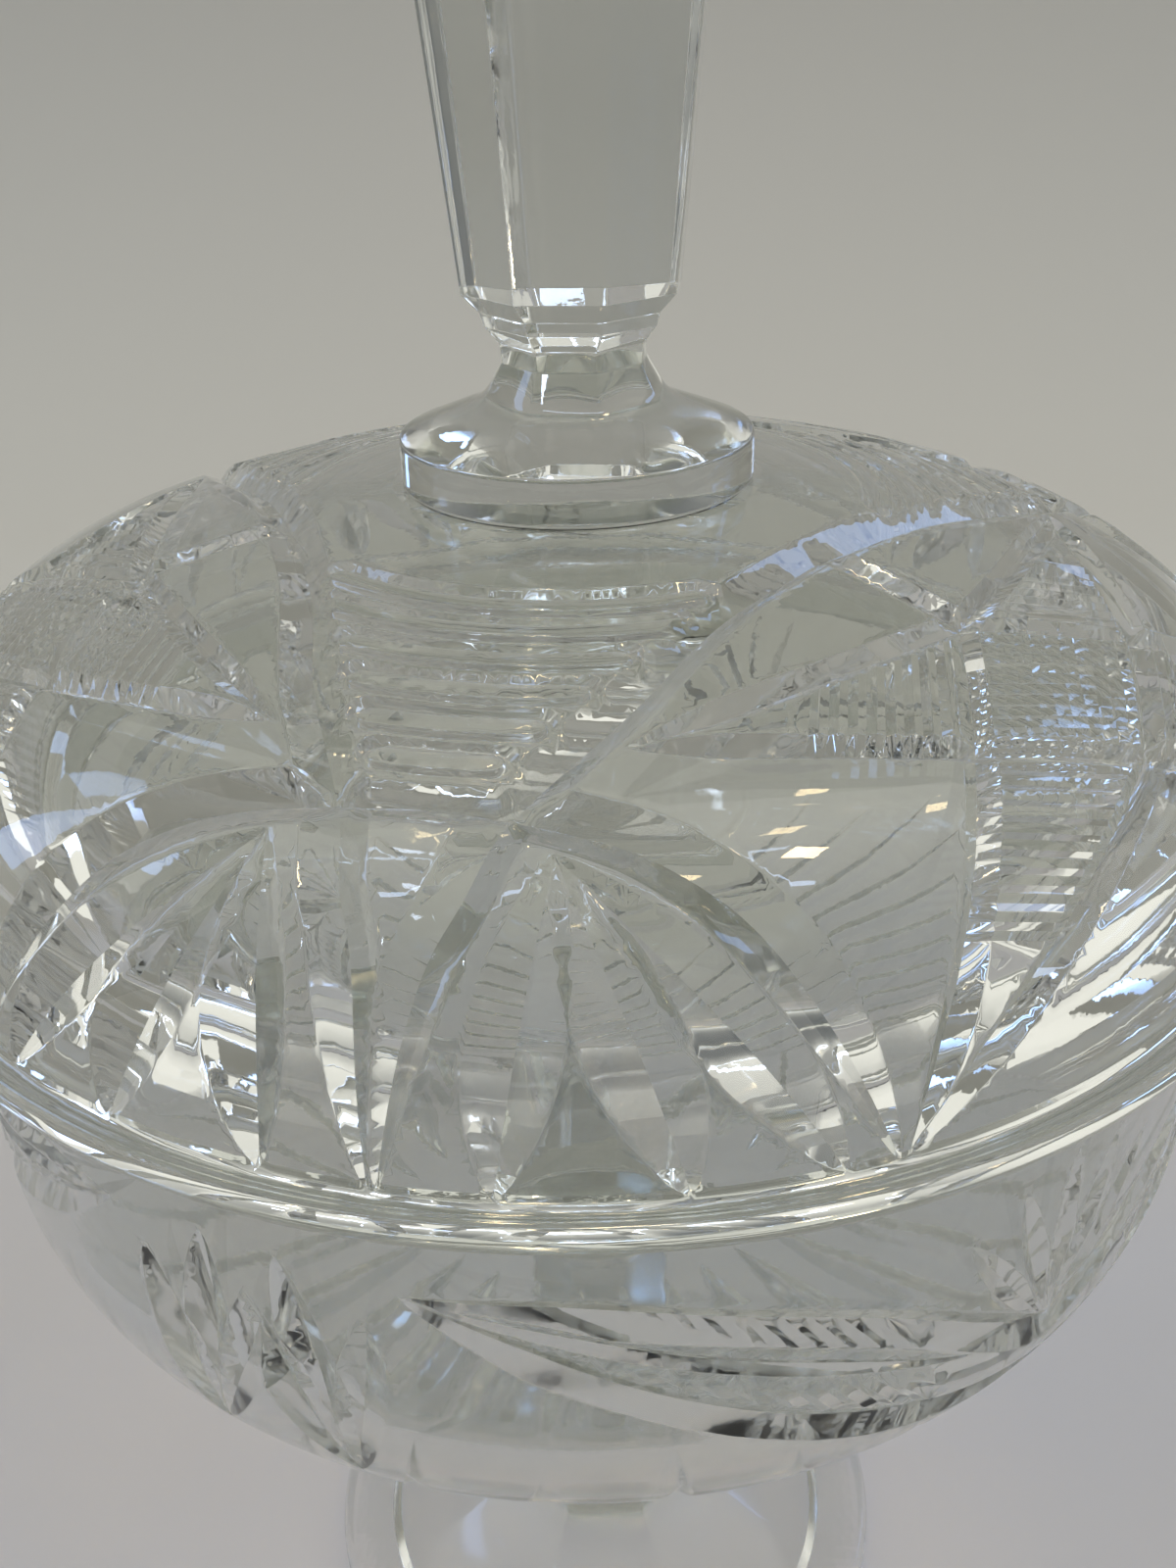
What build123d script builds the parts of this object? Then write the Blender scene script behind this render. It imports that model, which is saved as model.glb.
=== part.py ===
from build123d import *
import math
import os

# Footed powder jar in clear pressed glass: a round bowl bonded to a tall eight-sided pedestal,
# and a lift-off domed lid with a tall eight-sided finial bonded to its crown.
# Millimetres. +Z up. The origin is the centre of the face that the foot stands on.

# ---- driving sizes ----------------------------------------------------------------------------
GLASS_SIDES = 8                 # facets on the finial and on the pedestal's stem

BOWL_RIM_HEIGHT = 139.5         # the ground rim of the bowl, where the lid rests
BOWL_OUTER_RADIUS = 72.8
BOWL_WALL = 4.5
BOWL_DEPTH = 60.2               # from the rim down to the lowest point of the outside
BOWL_FLOOR = 6.0                # glass under the deepest point of the inside
BOWL_SHOULDER_RADIUS = 26.0     # outside curve between the wall and the underside
BOWL_SHOULDER_DROP = 27.5       # straight wall between the rim and that curve
BOWL_RIM_ROUNDING = 1.2

LID_FLANGE_RADIUS = 78.0
LID_FLANGE_THICKNESS = 3.0
LID_FLANGE_ROUNDING = 1.4
LID_DOME_RADIUS = 75.7          # where the dome springs from the flange
LID_DOME_RISE = 33.3            # from the flange's upper face to the crown of the dome
LID_SHOULDER_RADIUS = 25.5
LID_CROWN_WALL = 5.2
LID_LIP_DEPTH = 5.0             # the ring under the lid that centres it in the bowl
LID_LIP_WALL = 3.0
LID_LIP_ROUNDING = 0.9
LID_LIP_CLEARANCE = 0.6         # radial play between the ring and the bowl's inside
LID_INNER_SHOULDER_RADIUS = 14.0
LID_INNER_WALL_HEIGHT = 9.0     # straight inside wall above the seat

BOND_THICKNESS = 0.15           # cured clear adhesive under the finial and over the pedestal
BOND_INSET = 0.4                # how far the adhesive stays back from the disc's edge
PAD_MARGIN = 1.0                # ground flat beyond the disc that is bonded to it

FINIAL_TURN = -7.0              # degrees the facets are turned from straight ahead
FINIAL_DISC_RADIUS = 19.0
FINIAL_DISC_THICKNESS = 4.9
FINIAL_DISC_ROUNDING = 0.5
FINIAL_FLARE_RADIUS = 9.8
FINIAL_FLARE_HEIGHT = 8.6
FINIAL_NECK_RADIUS = 7.5        # across the flats, halved, as all facet radii below are
FINIAL_NECK_HEIGHT = 12.6
FINIAL_NECK_LENGTH = 2.0
FINIAL_COLLAR_RADIUS = 8.9
FINIAL_COLLAR_RISE = 1.7
FINIAL_FOOT_RADIUS = 11.0
FINIAL_FOOT_RISE = 3.3
FINIAL_SHAFT_LENGTH = 42.4
FINIAL_TOP_RADIUS = 14.8
FINIAL_CAP_RISE = 8.0
FINIAL_CAP_RADIUS = 3.2

FOOT_RADIUS = 43.2
FOOT_THICKNESS = 4.2
FOOT_ROUNDING = 1.4
FOOT_RECESS_RADIUS = 35.0
FOOT_RECESS_DEPTH = 1.5
FOOT_FLARE_RISE = 19.0          # from the foot's edge up to where the flare meets the stem
FOOT_FLARE_SAG = 9.0            # how hollow the flare is
STEM_FOOT_RADIUS = 11.8
STEM_FOOT_EMBED = 3.0           # how far the facets run down into the flare
STEM_SHOULDER_RADIUS = 9.2
STEM_NECK_RADIUS = 6.4
STEM_NECK_LENGTH = 2.0
STEM_CHAMFER_RISE = 4.5
STEM_DISC_RADIUS = 20.0
STEM_DISC_THICKNESS = 4.8
STEM_DISC_ROUNDING = 0.5
STEM_FLARE_RADIUS = 9.6
STEM_FLARE_DROP = 2.4
STEM_NECK_DROP = 3.4

# ---- heights worked out from them -------------------------------------------------------------
bowl_bottom = BOWL_RIM_HEIGHT - BOWL_DEPTH
bowl_spring = BOWL_RIM_HEIGHT - BOWL_SHOULDER_DROP
bowl_inner_radius = BOWL_OUTER_RADIUS - BOWL_WALL
stem_pad_radius = STEM_DISC_RADIUS + PAD_MARGIN

flange_top = BOWL_RIM_HEIGHT + LID_FLANGE_THICKNESS
dome_crown = flange_top + LID_DOME_RISE
lip_outer_radius = bowl_inner_radius - LID_LIP_CLEARANCE
lip_inner_radius = lip_outer_radius - LID_LIP_WALL
lid_pad_radius = FINIAL_DISC_RADIUS + PAD_MARGIN


# ---- outlines ---------------------------------------------------------------------------------
class DoubleArc:
    """Half section of a vessel: a crown arc centred on the axis, running tangent into a shoulder
    arc that turns into an upright wall. It opens downwards if the crown is above the spring."""

    def __init__(self, wall_radius, spring, crown, shoulder):
        self.side = 1 if crown > spring else -1
        rise = abs(crown - spring)
        run = wall_radius - shoulder
        self.crown_radius = (run**2 + rise**2 - shoulder**2) / (2 * (rise - shoulder))
        self.crown_centre = Vector(0, crown - self.side * self.crown_radius)
        self.shoulder_centre = Vector(run, spring)
        self.spring_point = Vector(wall_radius, spring)
        towards = (self.shoulder_centre - self.crown_centre).normalized()
        self.join = self.crown_centre + towards * self.crown_radius

    def crown_point(self, radius):
        """The point of the crown arc at that distance from the axis."""
        up = math.sqrt(self.crown_radius**2 - radius**2)
        return Vector(radius, self.crown_centre.Y + self.side * up)

    def edges(self, from_radius=0.0):
        """The two arcs, from the crown out to the wall."""
        return [
            arc_about(self.crown_centre, self.crown_point(from_radius), self.join),
            arc_about(self.shoulder_centre, self.join, self.spring_point),
        ]


def arc_about(centre, start, end):
    """The shorter arc from start to end round a centre."""
    halfway = ((start - centre) + (end - centre)).normalized() * (start - centre).length
    return ThreePointArc(start, centre + halfway, end)


def run_lines(*points):
    """Straight lines through the points, each a pair of radius and height."""
    corners = [Vector(*p) if isinstance(p, tuple) else p for p in points]
    return [Line(a, b) for a, b in zip(corners[:-1], corners[1:])]


def turned(edges, roundings=()):
    """A closed half section spun round the axis. roundings holds (point, radius) for its corners."""
    section = make_face(edges)
    for corner, radius in roundings:
        vertex = section.vertices().sort_by_distance(corner)[0]
        section = fillet(vertex, radius)
    return revolve(Plane.XZ * section, Axis.Z)


def faceted(stations, turn):
    """A straight-sided stack of eight-sided sections, each (height, half width across flats)."""
    half_side_angle = 180 / GLASS_SIDES
    sections = [
        Pos(0, 0, height)
        * Rot(0, 0, turn + half_side_angle)
        * RegularPolygon(apothem, GLASS_SIDES, major_radius=False)
        for height, apothem in stations
    ]
    spans = [loft([a, b], ruled=True) for a, b in zip(sections[:-1], sections[1:])]
    return spans[0].fuse(*spans[1:])


def bond(radius, height):
    """A film of cured clear adhesive, its lower face at that height."""
    return Pos(0, 0, height) * Cylinder(
        radius, BOND_THICKNESS, align=(Align.CENTER, Align.CENTER, Align.MIN)
    )


# ---- outlines that several pieces share -------------------------------------------------------
bowl_outside = DoubleArc(BOWL_OUTER_RADIUS, bowl_spring, bowl_bottom, BOWL_SHOULDER_RADIUS)
bowl_inside = DoubleArc(
    bowl_inner_radius, bowl_spring, bowl_bottom + BOWL_FLOOR, BOWL_SHOULDER_RADIUS - BOWL_WALL
)
lid_outside = DoubleArc(LID_DOME_RADIUS, flange_top, dome_crown, LID_SHOULDER_RADIUS)
lid_inside = DoubleArc(
    lip_inner_radius,
    BOWL_RIM_HEIGHT + LID_INNER_WALL_HEIGHT,
    dome_crown - LID_CROWN_WALL,
    LID_INNER_SHOULDER_RADIUS,
)
stem_pad_height = bowl_outside.crown_point(stem_pad_radius).Y
lid_pad_height = lid_outside.crown_point(lid_pad_radius).Y
pedestal_top = stem_pad_height - BOND_THICKNESS
finial_base = lid_pad_height + BOND_THICKNESS


# ---- pieces -----------------------------------------------------------------------------------
def make_bowl():
    """The bowl, with a ground flat under it for the pedestal."""
    inside_bottom = bowl_inside.crown_point(0)
    rim_in = Vector(bowl_inner_radius, BOWL_RIM_HEIGHT)
    rim_out = Vector(BOWL_OUTER_RADIUS, BOWL_RIM_HEIGHT)
    edges = (
        run_lines((0, stem_pad_height), bowl_outside.crown_point(stem_pad_radius))
        + bowl_outside.edges(stem_pad_radius)
        + run_lines(bowl_outside.spring_point, rim_out, rim_in, bowl_inside.spring_point)
        + bowl_inside.edges()
        + run_lines(inside_bottom, (0, stem_pad_height))
    )
    return turned(edges, [(rim_in, BOWL_RIM_ROUNDING), (rim_out, BOWL_RIM_ROUNDING)])


def make_lid():
    """The domed lid, with its overhanging flange, centring ring and the finial's ground flat."""
    lip_bottom = BOWL_RIM_HEIGHT - LID_LIP_DEPTH
    flange_upper = Vector(LID_FLANGE_RADIUS, flange_top)
    flange_lower = Vector(LID_FLANGE_RADIUS, BOWL_RIM_HEIGHT)
    lip_outer = Vector(lip_outer_radius, lip_bottom)
    lip_inner = Vector(lip_inner_radius, lip_bottom)
    edges = (
        run_lines((0, lid_pad_height), lid_outside.crown_point(lid_pad_radius))
        + lid_outside.edges(lid_pad_radius)
        + run_lines(
            lid_outside.spring_point,
            flange_upper,
            flange_lower,
            (lip_outer_radius, BOWL_RIM_HEIGHT),
            lip_outer,
            lip_inner,
            lid_inside.spring_point,
        )
        + lid_inside.edges()
        + run_lines(lid_inside.crown_point(0), (0, lid_pad_height))
    )
    roundings = [
        (flange_upper, LID_FLANGE_ROUNDING),
        (flange_lower, LID_FLANGE_ROUNDING),
        (lip_outer, LID_LIP_ROUNDING),
        (lip_inner, LID_LIP_ROUNDING),
    ]
    return turned(edges, roundings)


def make_finial():
    """The finial: a round disc that flares into an eight-sided shaft, wider towards its cap."""
    flare_top = finial_base + FINIAL_NECK_HEIGHT
    rim_low = Vector(FINIAL_DISC_RADIUS, finial_base)
    rim_high = Vector(FINIAL_DISC_RADIUS, finial_base + FINIAL_DISC_THICKNESS)
    flare_start = Vector(FINIAL_FLARE_RADIUS, finial_base + FINIAL_FLARE_HEIGHT)
    flare_end = Vector(FINIAL_NECK_RADIUS, flare_top)
    flare_middle = Vector(
        flare_end.X + (flare_start.X - flare_end.X) / 3,
        flare_start.Y + (flare_end.Y - flare_start.Y) / 3,
    )
    edges = run_lines((0, flare_top), (0, finial_base), rim_low, rim_high, flare_start)
    edges += [ThreePointArc(flare_start, flare_middle, flare_end)]
    edges += run_lines(flare_end, (0, flare_top))
    base = turned(edges, [(rim_low, FINIAL_DISC_ROUNDING), (rim_high, FINIAL_DISC_ROUNDING)])

    rises = [
        (0, FINIAL_NECK_RADIUS),
        (FINIAL_NECK_LENGTH, FINIAL_NECK_RADIUS),
        (FINIAL_COLLAR_RISE, FINIAL_COLLAR_RADIUS),
        (FINIAL_FOOT_RISE, FINIAL_FOOT_RADIUS),
        (FINIAL_SHAFT_LENGTH, FINIAL_TOP_RADIUS),
        (FINIAL_CAP_RISE, FINIAL_CAP_RADIUS),
    ]
    stations, height = [], flare_top
    for rise, apothem in rises:
        height += rise
        stations.append((height, apothem))
    return base.fuse(faceted(stations, FINIAL_TURN))


def make_pedestal():
    """The pedestal: a round foot, a hollow flare, an eight-sided stem, and a disc under the bowl."""
    disc_low = pedestal_top - STEM_DISC_THICKNESS
    flare_low = disc_low - STEM_FLARE_DROP
    neck_top = flare_low - STEM_NECK_DROP
    neck_low = neck_top - STEM_NECK_LENGTH
    flare_top = FOOT_THICKNESS + FOOT_FLARE_RISE

    foot_low = Vector(FOOT_RADIUS, 0)
    foot_high = Vector(FOOT_RADIUS, FOOT_THICKNESS)
    stem_meet = Vector(STEM_FOOT_RADIUS, flare_top)
    chord_middle = (foot_high + stem_meet) / 2
    across = (stem_meet - foot_high).normalized()
    flare_middle = chord_middle + Vector(across.Y, -across.X) * -FOOT_FLARE_SAG
    edges = run_lines(
        (0, flare_top),
        (0, FOOT_RECESS_DEPTH),
        (FOOT_RECESS_RADIUS - FOOT_RECESS_DEPTH, FOOT_RECESS_DEPTH),
        (FOOT_RECESS_RADIUS, 0),
        foot_low,
        foot_high,
    )
    edges += [ThreePointArc(foot_high, flare_middle, stem_meet)]
    edges += run_lines(stem_meet, (0, flare_top))
    foot = turned(edges, [(foot_low, FOOT_ROUNDING), (foot_high, FOOT_ROUNDING)])

    rim_low = Vector(STEM_DISC_RADIUS, disc_low)
    rim_high = Vector(STEM_DISC_RADIUS, pedestal_top)
    flare_start = Vector(STEM_FLARE_RADIUS, flare_low)
    flare_end = Vector(STEM_NECK_RADIUS, neck_top)
    bend = Vector(
        flare_end.X + (flare_start.X - flare_end.X) / 3,
        flare_start.Y + (flare_end.Y - flare_start.Y) / 3,
    )
    edges = run_lines((0, neck_top), (0, pedestal_top), rim_high, rim_low, flare_start)
    edges += [ThreePointArc(flare_start, bend, flare_end)]
    edges += run_lines(flare_end, (0, neck_top))
    disc = turned(edges, [(rim_low, STEM_DISC_ROUNDING), (rim_high, STEM_DISC_ROUNDING)])

    stations = [
        (flare_top - STEM_FOOT_EMBED, STEM_FOOT_RADIUS),
        (neck_low - STEM_CHAMFER_RISE, STEM_SHOULDER_RADIUS),
        (neck_low, STEM_NECK_RADIUS),
        (neck_top, STEM_NECK_RADIUS),
    ]
    return foot.fuse(faceted(stations, 0), disc)


pieces = {
    "bowl": make_bowl(),
    "pedestal": make_pedestal(),
    "pedestal_bond": bond(STEM_DISC_RADIUS - BOND_INSET, pedestal_top),
    "lid": make_lid(),
    "finial": make_finial(),
    "finial_bond": bond(FINIAL_DISC_RADIUS - BOND_INSET, lid_pad_height),
}

os.makedirs("parts", exist_ok=True)
for name, solid in pieces.items():
    export_step(solid, f"parts/{name}.step")
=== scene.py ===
"""Looks of a footed powder jar in clear pressed and cut crystal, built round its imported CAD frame.

The jar's two vessels are cut with one repeating pattern each. A pattern is drawn once, on a wedge of
a sixth of a turn, as the strokes of a mitre wheel, and a Geometry Nodes tree mirrors and repeats the
wedge round the jar. Sizes inside the classes are millimetres; meshes are made in metres, +Z up.
"""

import sys

import logging
import math
from dataclasses import dataclass
from enum import Enum

import bpy
import bmesh
import numpy as np
from mathutils import Matrix, Vector, kdtree
from mathutils.geometry import delaunay_2d_cdt

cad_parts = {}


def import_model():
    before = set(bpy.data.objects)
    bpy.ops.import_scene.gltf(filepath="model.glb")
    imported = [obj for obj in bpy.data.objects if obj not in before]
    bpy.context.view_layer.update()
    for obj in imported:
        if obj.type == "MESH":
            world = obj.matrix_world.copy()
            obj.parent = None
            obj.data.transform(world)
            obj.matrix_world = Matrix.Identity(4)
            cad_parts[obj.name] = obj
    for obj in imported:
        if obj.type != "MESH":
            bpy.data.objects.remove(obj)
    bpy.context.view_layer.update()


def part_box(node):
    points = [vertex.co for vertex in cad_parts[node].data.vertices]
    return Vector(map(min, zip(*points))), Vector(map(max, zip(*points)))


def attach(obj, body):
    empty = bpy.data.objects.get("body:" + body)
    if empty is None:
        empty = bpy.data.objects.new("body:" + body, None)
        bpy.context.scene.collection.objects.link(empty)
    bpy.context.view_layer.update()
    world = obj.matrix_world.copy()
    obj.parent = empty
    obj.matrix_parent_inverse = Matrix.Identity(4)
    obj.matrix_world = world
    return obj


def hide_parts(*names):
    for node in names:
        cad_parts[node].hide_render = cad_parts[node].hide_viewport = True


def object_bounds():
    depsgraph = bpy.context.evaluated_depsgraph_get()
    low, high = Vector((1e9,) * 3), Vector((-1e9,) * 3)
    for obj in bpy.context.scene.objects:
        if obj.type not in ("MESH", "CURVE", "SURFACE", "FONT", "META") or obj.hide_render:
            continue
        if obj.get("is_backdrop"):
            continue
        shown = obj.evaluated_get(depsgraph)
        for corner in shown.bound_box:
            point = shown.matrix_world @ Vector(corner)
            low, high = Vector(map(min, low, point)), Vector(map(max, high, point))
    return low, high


MM = 0.001
GLASS_FACES = 28  # how many glass faces a ray of light may cross
MIRRORINGS = 16  # how many times a ray may be reflected
WEDGE_PAIRS = 3  # mirrored pairs of wedges in a turn
WEDGE_WELD = 0.00001  # metres within which points of neighbouring wedges become one
SEAM_WELD = 0.000008  # metres within which points of a finished piece become one
SHORT_EDGE = 0.000004  # metres; an edge shorter than this is dissolved
FACTOR, COLOUR_A, COLOUR_B, MIXED = 0, 6, 7, 2  # a Mix node's sockets for colours
LOG = logging.getLogger("powder_jar")
Points = np.ndarray  # rows of coordinates, one point each
Outline = list[tuple[float, float]]  # pairs of radius and height


class BodyName(Enum):
    """The moving bodies of the frame."""

    JAR = "bowl_and_pedestal"
    COVER = "lid_and_finial"


# ---- finishes ---------------------------------------------------------------------------------
def linear(hex_colour: str) -> tuple[float, float, float, float]:
    """Turns an sRGB hex colour into linear RGBA.

    Args:
        hex_colour: Six hex digits, such as "f2f4f3".

    Returns:
        Linear red, green, blue, and alpha 1.
    """
    channels = [int(hex_colour[i : i + 2], 16) / 255 for i in (0, 2, 4)]
    return (*[c / 12.92 if c <= 0.04045 else ((c + 0.055) / 1.055) ** 2.4 for c in channels], 1.0)


def add_node(tree: bpy.types.NodeTree, kind: str, settings: dict, *links: tuple) -> bpy.types.Node:
    """Adds a node with its settings and links.

    Args:
        tree: The tree the node is added to.
        kind: The node's type name.
        settings: Attribute names, or input names or numbers, to their values.
        links: Pairs of an output socket and the input name or number that it feeds.

    Returns:
        The new node.
    """
    node = tree.nodes.new(kind)
    for key, value in settings.items():
        if isinstance(key, str) and hasattr(node, key):
            setattr(node, key, value)
        else:
            node.inputs[key].default_value = value
    for source, target in links:
        tree.links.new(source, node.inputs[target])
    return node


def start_material(name: str) -> tuple[bpy.types.Material, bpy.types.Node, bpy.types.NodeSocket]:
    """Starts a material.

    Args:
        name: The material's name.

    Returns:
        The material, its shader, and the socket that gives Object coordinates.
    """
    made = bpy.data.materials.new(name)
    made.use_nodes = True
    place = add_node(made.node_tree, "ShaderNodeTexCoord", {}).outputs["Object"]
    return made, made.node_tree.nodes["Principled BSDF"], place


def make_clear(shader: bpy.types.Node, tint: str, ior: float) -> None:
    """Lets all light through a shader.

    Args:
        shader: The material's shader.
        tint: The colour that the light takes on, as sRGB hex.
        ior: Index of refraction.
    """
    shader.inputs["Base Color"].default_value = linear(tint)
    shader.inputs["IOR"].default_value = ior
    shader.inputs["Transmission Weight"].default_value = 1.0


@dataclass(frozen=True)
class CrystalFinish:
    """Clear pressed crystal. Fire-polishing leaves a slow ripple in its faces and softened edges."""

    name: str
    tint: str = "e9ebe8"
    ior: float = 1.53
    roughness: float = 0.012
    haze: float = 0.03  # roughness of the duller patches that handling leaves
    ripple_mm: float = 9.0
    ripple_depth_mm: float = 0.035
    grain_mm: float = 1.1
    grain_depth_mm: float = 0.0022

    def material(self) -> bpy.types.Material:
        """Builds the glass.

        Returns:
            A refracting material, rippled at two scales read from Object coordinates.
        """
        made, shader, place = start_material(self.name)
        tree = made.node_tree
        make_clear(shader, self.tint, self.ior)
        patch_mm = 3 * self.ripple_mm
        scales = ((self.ripple_mm, 1.0, 0.4), (self.grain_mm, 2.0, 0.5), (patch_mm, 3.0, 0.5))
        ripple, grain, patches = [
            add_node(
                tree,
                "ShaderNodeTexNoise",
                {"Scale": 1 / (size * MM), "Detail": detail, "Roughness": roughness},
                (place, "Vector"),
            ).outputs["Fac"]
            for size, detail, roughness in scales
        ]
        dullness = add_node(
            tree,
            "ShaderNodeMapRange",
            {"From Min": 0.52, "From Max": 0.72, "To Min": self.roughness, "To Max": self.haze},
            (patches, "Value"),
        )
        slow = add_node(
            tree,
            "ShaderNodeBump",
            {"Distance": self.ripple_depth_mm * MM, "Strength": 1.0},
            (ripple, "Height"),
        )
        fine = add_node(
            tree,
            "ShaderNodeBump",
            {"Distance": self.grain_depth_mm * MM, "Strength": 1.0},
            (grain, "Height"),
            (slow.outputs["Normal"], "Normal"),
        )
        tree.links.new(dullness.outputs["Result"], shader.inputs["Roughness"])
        tree.links.new(fine.outputs["Normal"], shader.inputs["Normal"])
        return made


@dataclass(frozen=True)
class BondFinish:
    """Cured clear adhesive, a touch yellower and duller than the glass, with trapped specks."""

    name: str = "cured_clear_adhesive"
    tint: str = "f3f3ec"
    ior: float = 1.5
    speck_mm: float = 0.8
    roughness: float = 0.03
    speck_roughness: float = 0.25

    def material(self) -> bpy.types.Material:
        """Builds the adhesive.

        Returns:
            A refracting material with specks of higher roughness.
        """
        made, shader, place = start_material(self.name)
        tree = made.node_tree
        make_clear(shader, self.tint, self.ior)
        specks = add_node(
            tree, "ShaderNodeTexVoronoi", {"Scale": 1 / (self.speck_mm * MM)}, (place, "Vector")
        )
        rough = add_node(
            tree,
            "ShaderNodeMapRange",
            {"From Min": 0.05, "From Max": 0.2, "To Min": self.speck_roughness, "To Max": self.roughness},
            (specks.outputs["Distance"], "Value"),
        )
        tree.links.new(rough.outputs["Result"], shader.inputs["Roughness"])
        return made


@dataclass(frozen=True)
class MattFinish:
    """A matt sweep: washed cotton cloth in front that drifts into a warm painted wall behind."""

    name: str = "cotton_cloth_to_painted_wall"
    cloth: str = "c3c5cd"
    cloth_shade: str = "c8c3bd"
    wall: str = "d6d4cc"
    roughness: float = 0.9
    cloud_mm: float = 140.0
    near: float = 0.02  # metres behind the jar where the wall's colour starts to show
    far: float = 0.35

    def material(self) -> bpy.types.Material:
        """Builds the surface.

        Returns:
            A rough material that drifts from the cloth's two colours to the wall's.
        """
        made, shader, place = start_material(self.name)
        tree = made.node_tree
        shader.inputs["Roughness"].default_value = self.roughness
        cloud = add_node(tree, "ShaderNodeTexNoise", {"Scale": 1 / (self.cloud_mm * MM)}, (place, "Vector"))
        cotton = add_node(
            tree,
            "ShaderNodeMix",
            {"data_type": "RGBA", COLOUR_A: linear(self.cloth), COLOUR_B: linear(self.cloth_shade)},
            (cloud.outputs["Fac"], FACTOR),
        )
        split = add_node(tree, "ShaderNodeSeparateXYZ", {}, (place, "Vector"))
        back = add_node(
            tree,
            "ShaderNodeMapRange",
            {"From Min": self.near, "From Max": self.far, "interpolation_type": "SMOOTHSTEP"},
            (split.outputs["Y"], "Value"),
        )
        drift = add_node(
            tree,
            "ShaderNodeMix",
            {"data_type": "RGBA", COLOUR_B: linear(self.wall)},
            (back.outputs["Result"], FACTOR),
            (cotton.outputs[MIXED], COLOUR_A),
        )
        tree.links.new(drift.outputs[MIXED], shader.inputs["Base Color"])
        return made


# ---- outlines of turned shapes ------------------------------------------------------------------
def arc_points(centre: tuple, start: tuple, end: tuple, step: float) -> Outline:
    """Points along the shorter arc from start to end round a centre, without the start point.

    Args:
        centre: The arc's centre, radius and height.
        start: Where it starts.
        end: Where it ends.
        step: The longest chord between neighbours.

    Returns:
        The points, the last of which is the end.
    """
    radius = math.dist(centre, start)
    first = math.atan2(start[1] - centre[1], start[0] - centre[0])
    sweep = math.atan2(end[1] - centre[1], end[0] - centre[0]) - first
    sweep = (sweep + math.pi) % math.tau - math.pi
    count = max(2, math.ceil(abs(sweep) * radius / step))
    angles = [first + sweep * i / count for i in range(1, count + 1)]
    return [(centre[0] + radius * math.cos(a), centre[1] + radius * math.sin(a)) for a in angles]


def rounded(corners: list[tuple[float, float, float]], steps: int = 5) -> Outline:
    """Rounds the corners of a polyline.

    Args:
        corners: Radius, height and rounding of each corner. The rounding of the ends is ignored.
        steps: Chords in each rounding.

    Returns:
        The points of the rounded line.
    """
    nearly_straight = math.radians(89)
    points = [corners[0][:2]]
    for before, (x, y, rounding), after in zip(corners, corners[1:], corners[2:]):
        here = Vector((x, y))
        back = (Vector(before[:2]) - here).normalized()
        on = (Vector(after[:2]) - here).normalized()
        half = back.angle(on) / 2
        if rounding <= 0 or half > nearly_straight:
            points.append((x, y))
            continue
        reach = rounding / math.tan(half)
        centre = here + (back + on).normalized() * rounding / math.sin(half)
        start, end = here + back * reach, here + on * reach
        points.append(tuple(start))
        chord = rounding * (math.pi - 2 * half) / steps
        points += arc_points(tuple(centre), tuple(start), tuple(end), chord)
    return points + [corners[-1][:2]]


def turned(radius: float | Points, height: float | Points, degrees: Points) -> Points:
    """Points in space at distances from the axis, at heights, and at degrees round from the front."""
    turn = np.radians(degrees)
    return np.stack([radius * np.sin(turn), -radius * np.cos(turn), np.full_like(turn, height)], axis=1)


@dataclass(frozen=True)
class VesselArc:
    """Half section of a vessel's face: a crown arc centred on the axis, then a tangent shoulder arc."""

    wall_radius: float
    spring: float
    crown: float
    shoulder: float

    @property
    def side(self) -> int:
        """1 for a face that opens downwards, -1 for one that opens upwards."""
        return 1 if self.crown > self.spring else -1

    @property
    def crown_radius(self) -> float:
        """Radius of the crown arc."""
        rise, run = abs(self.crown - self.spring), self.wall_radius - self.shoulder
        return (run**2 + rise**2 - self.shoulder**2) / (2 * (rise - self.shoulder))

    def points(self, from_radius: float, step: float) -> Outline:
        """Points from that distance from the axis out to the wall.

        Args:
            from_radius: Distance from the axis of the first point.
            step: The longest chord between neighbours.

        Returns:
            Pairs of radius and height.
        """
        radius = self.crown_radius
        crown_centre = (0.0, self.crown - self.side * radius)
        shoulder_centre = (self.wall_radius - self.shoulder, self.spring)
        reach = math.dist(crown_centre, shoulder_centre)
        join = tuple(c + (s - c) * radius / reach for c, s in zip(crown_centre, shoulder_centre))
        start = (from_radius, crown_centre[1] + self.side * math.sqrt(radius**2 - from_radius**2))
        shoulder = arc_points(shoulder_centre, join, (self.wall_radius, self.spring), step)
        return [start] + arc_points(crown_centre, start, join, step) + shoulder


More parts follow.
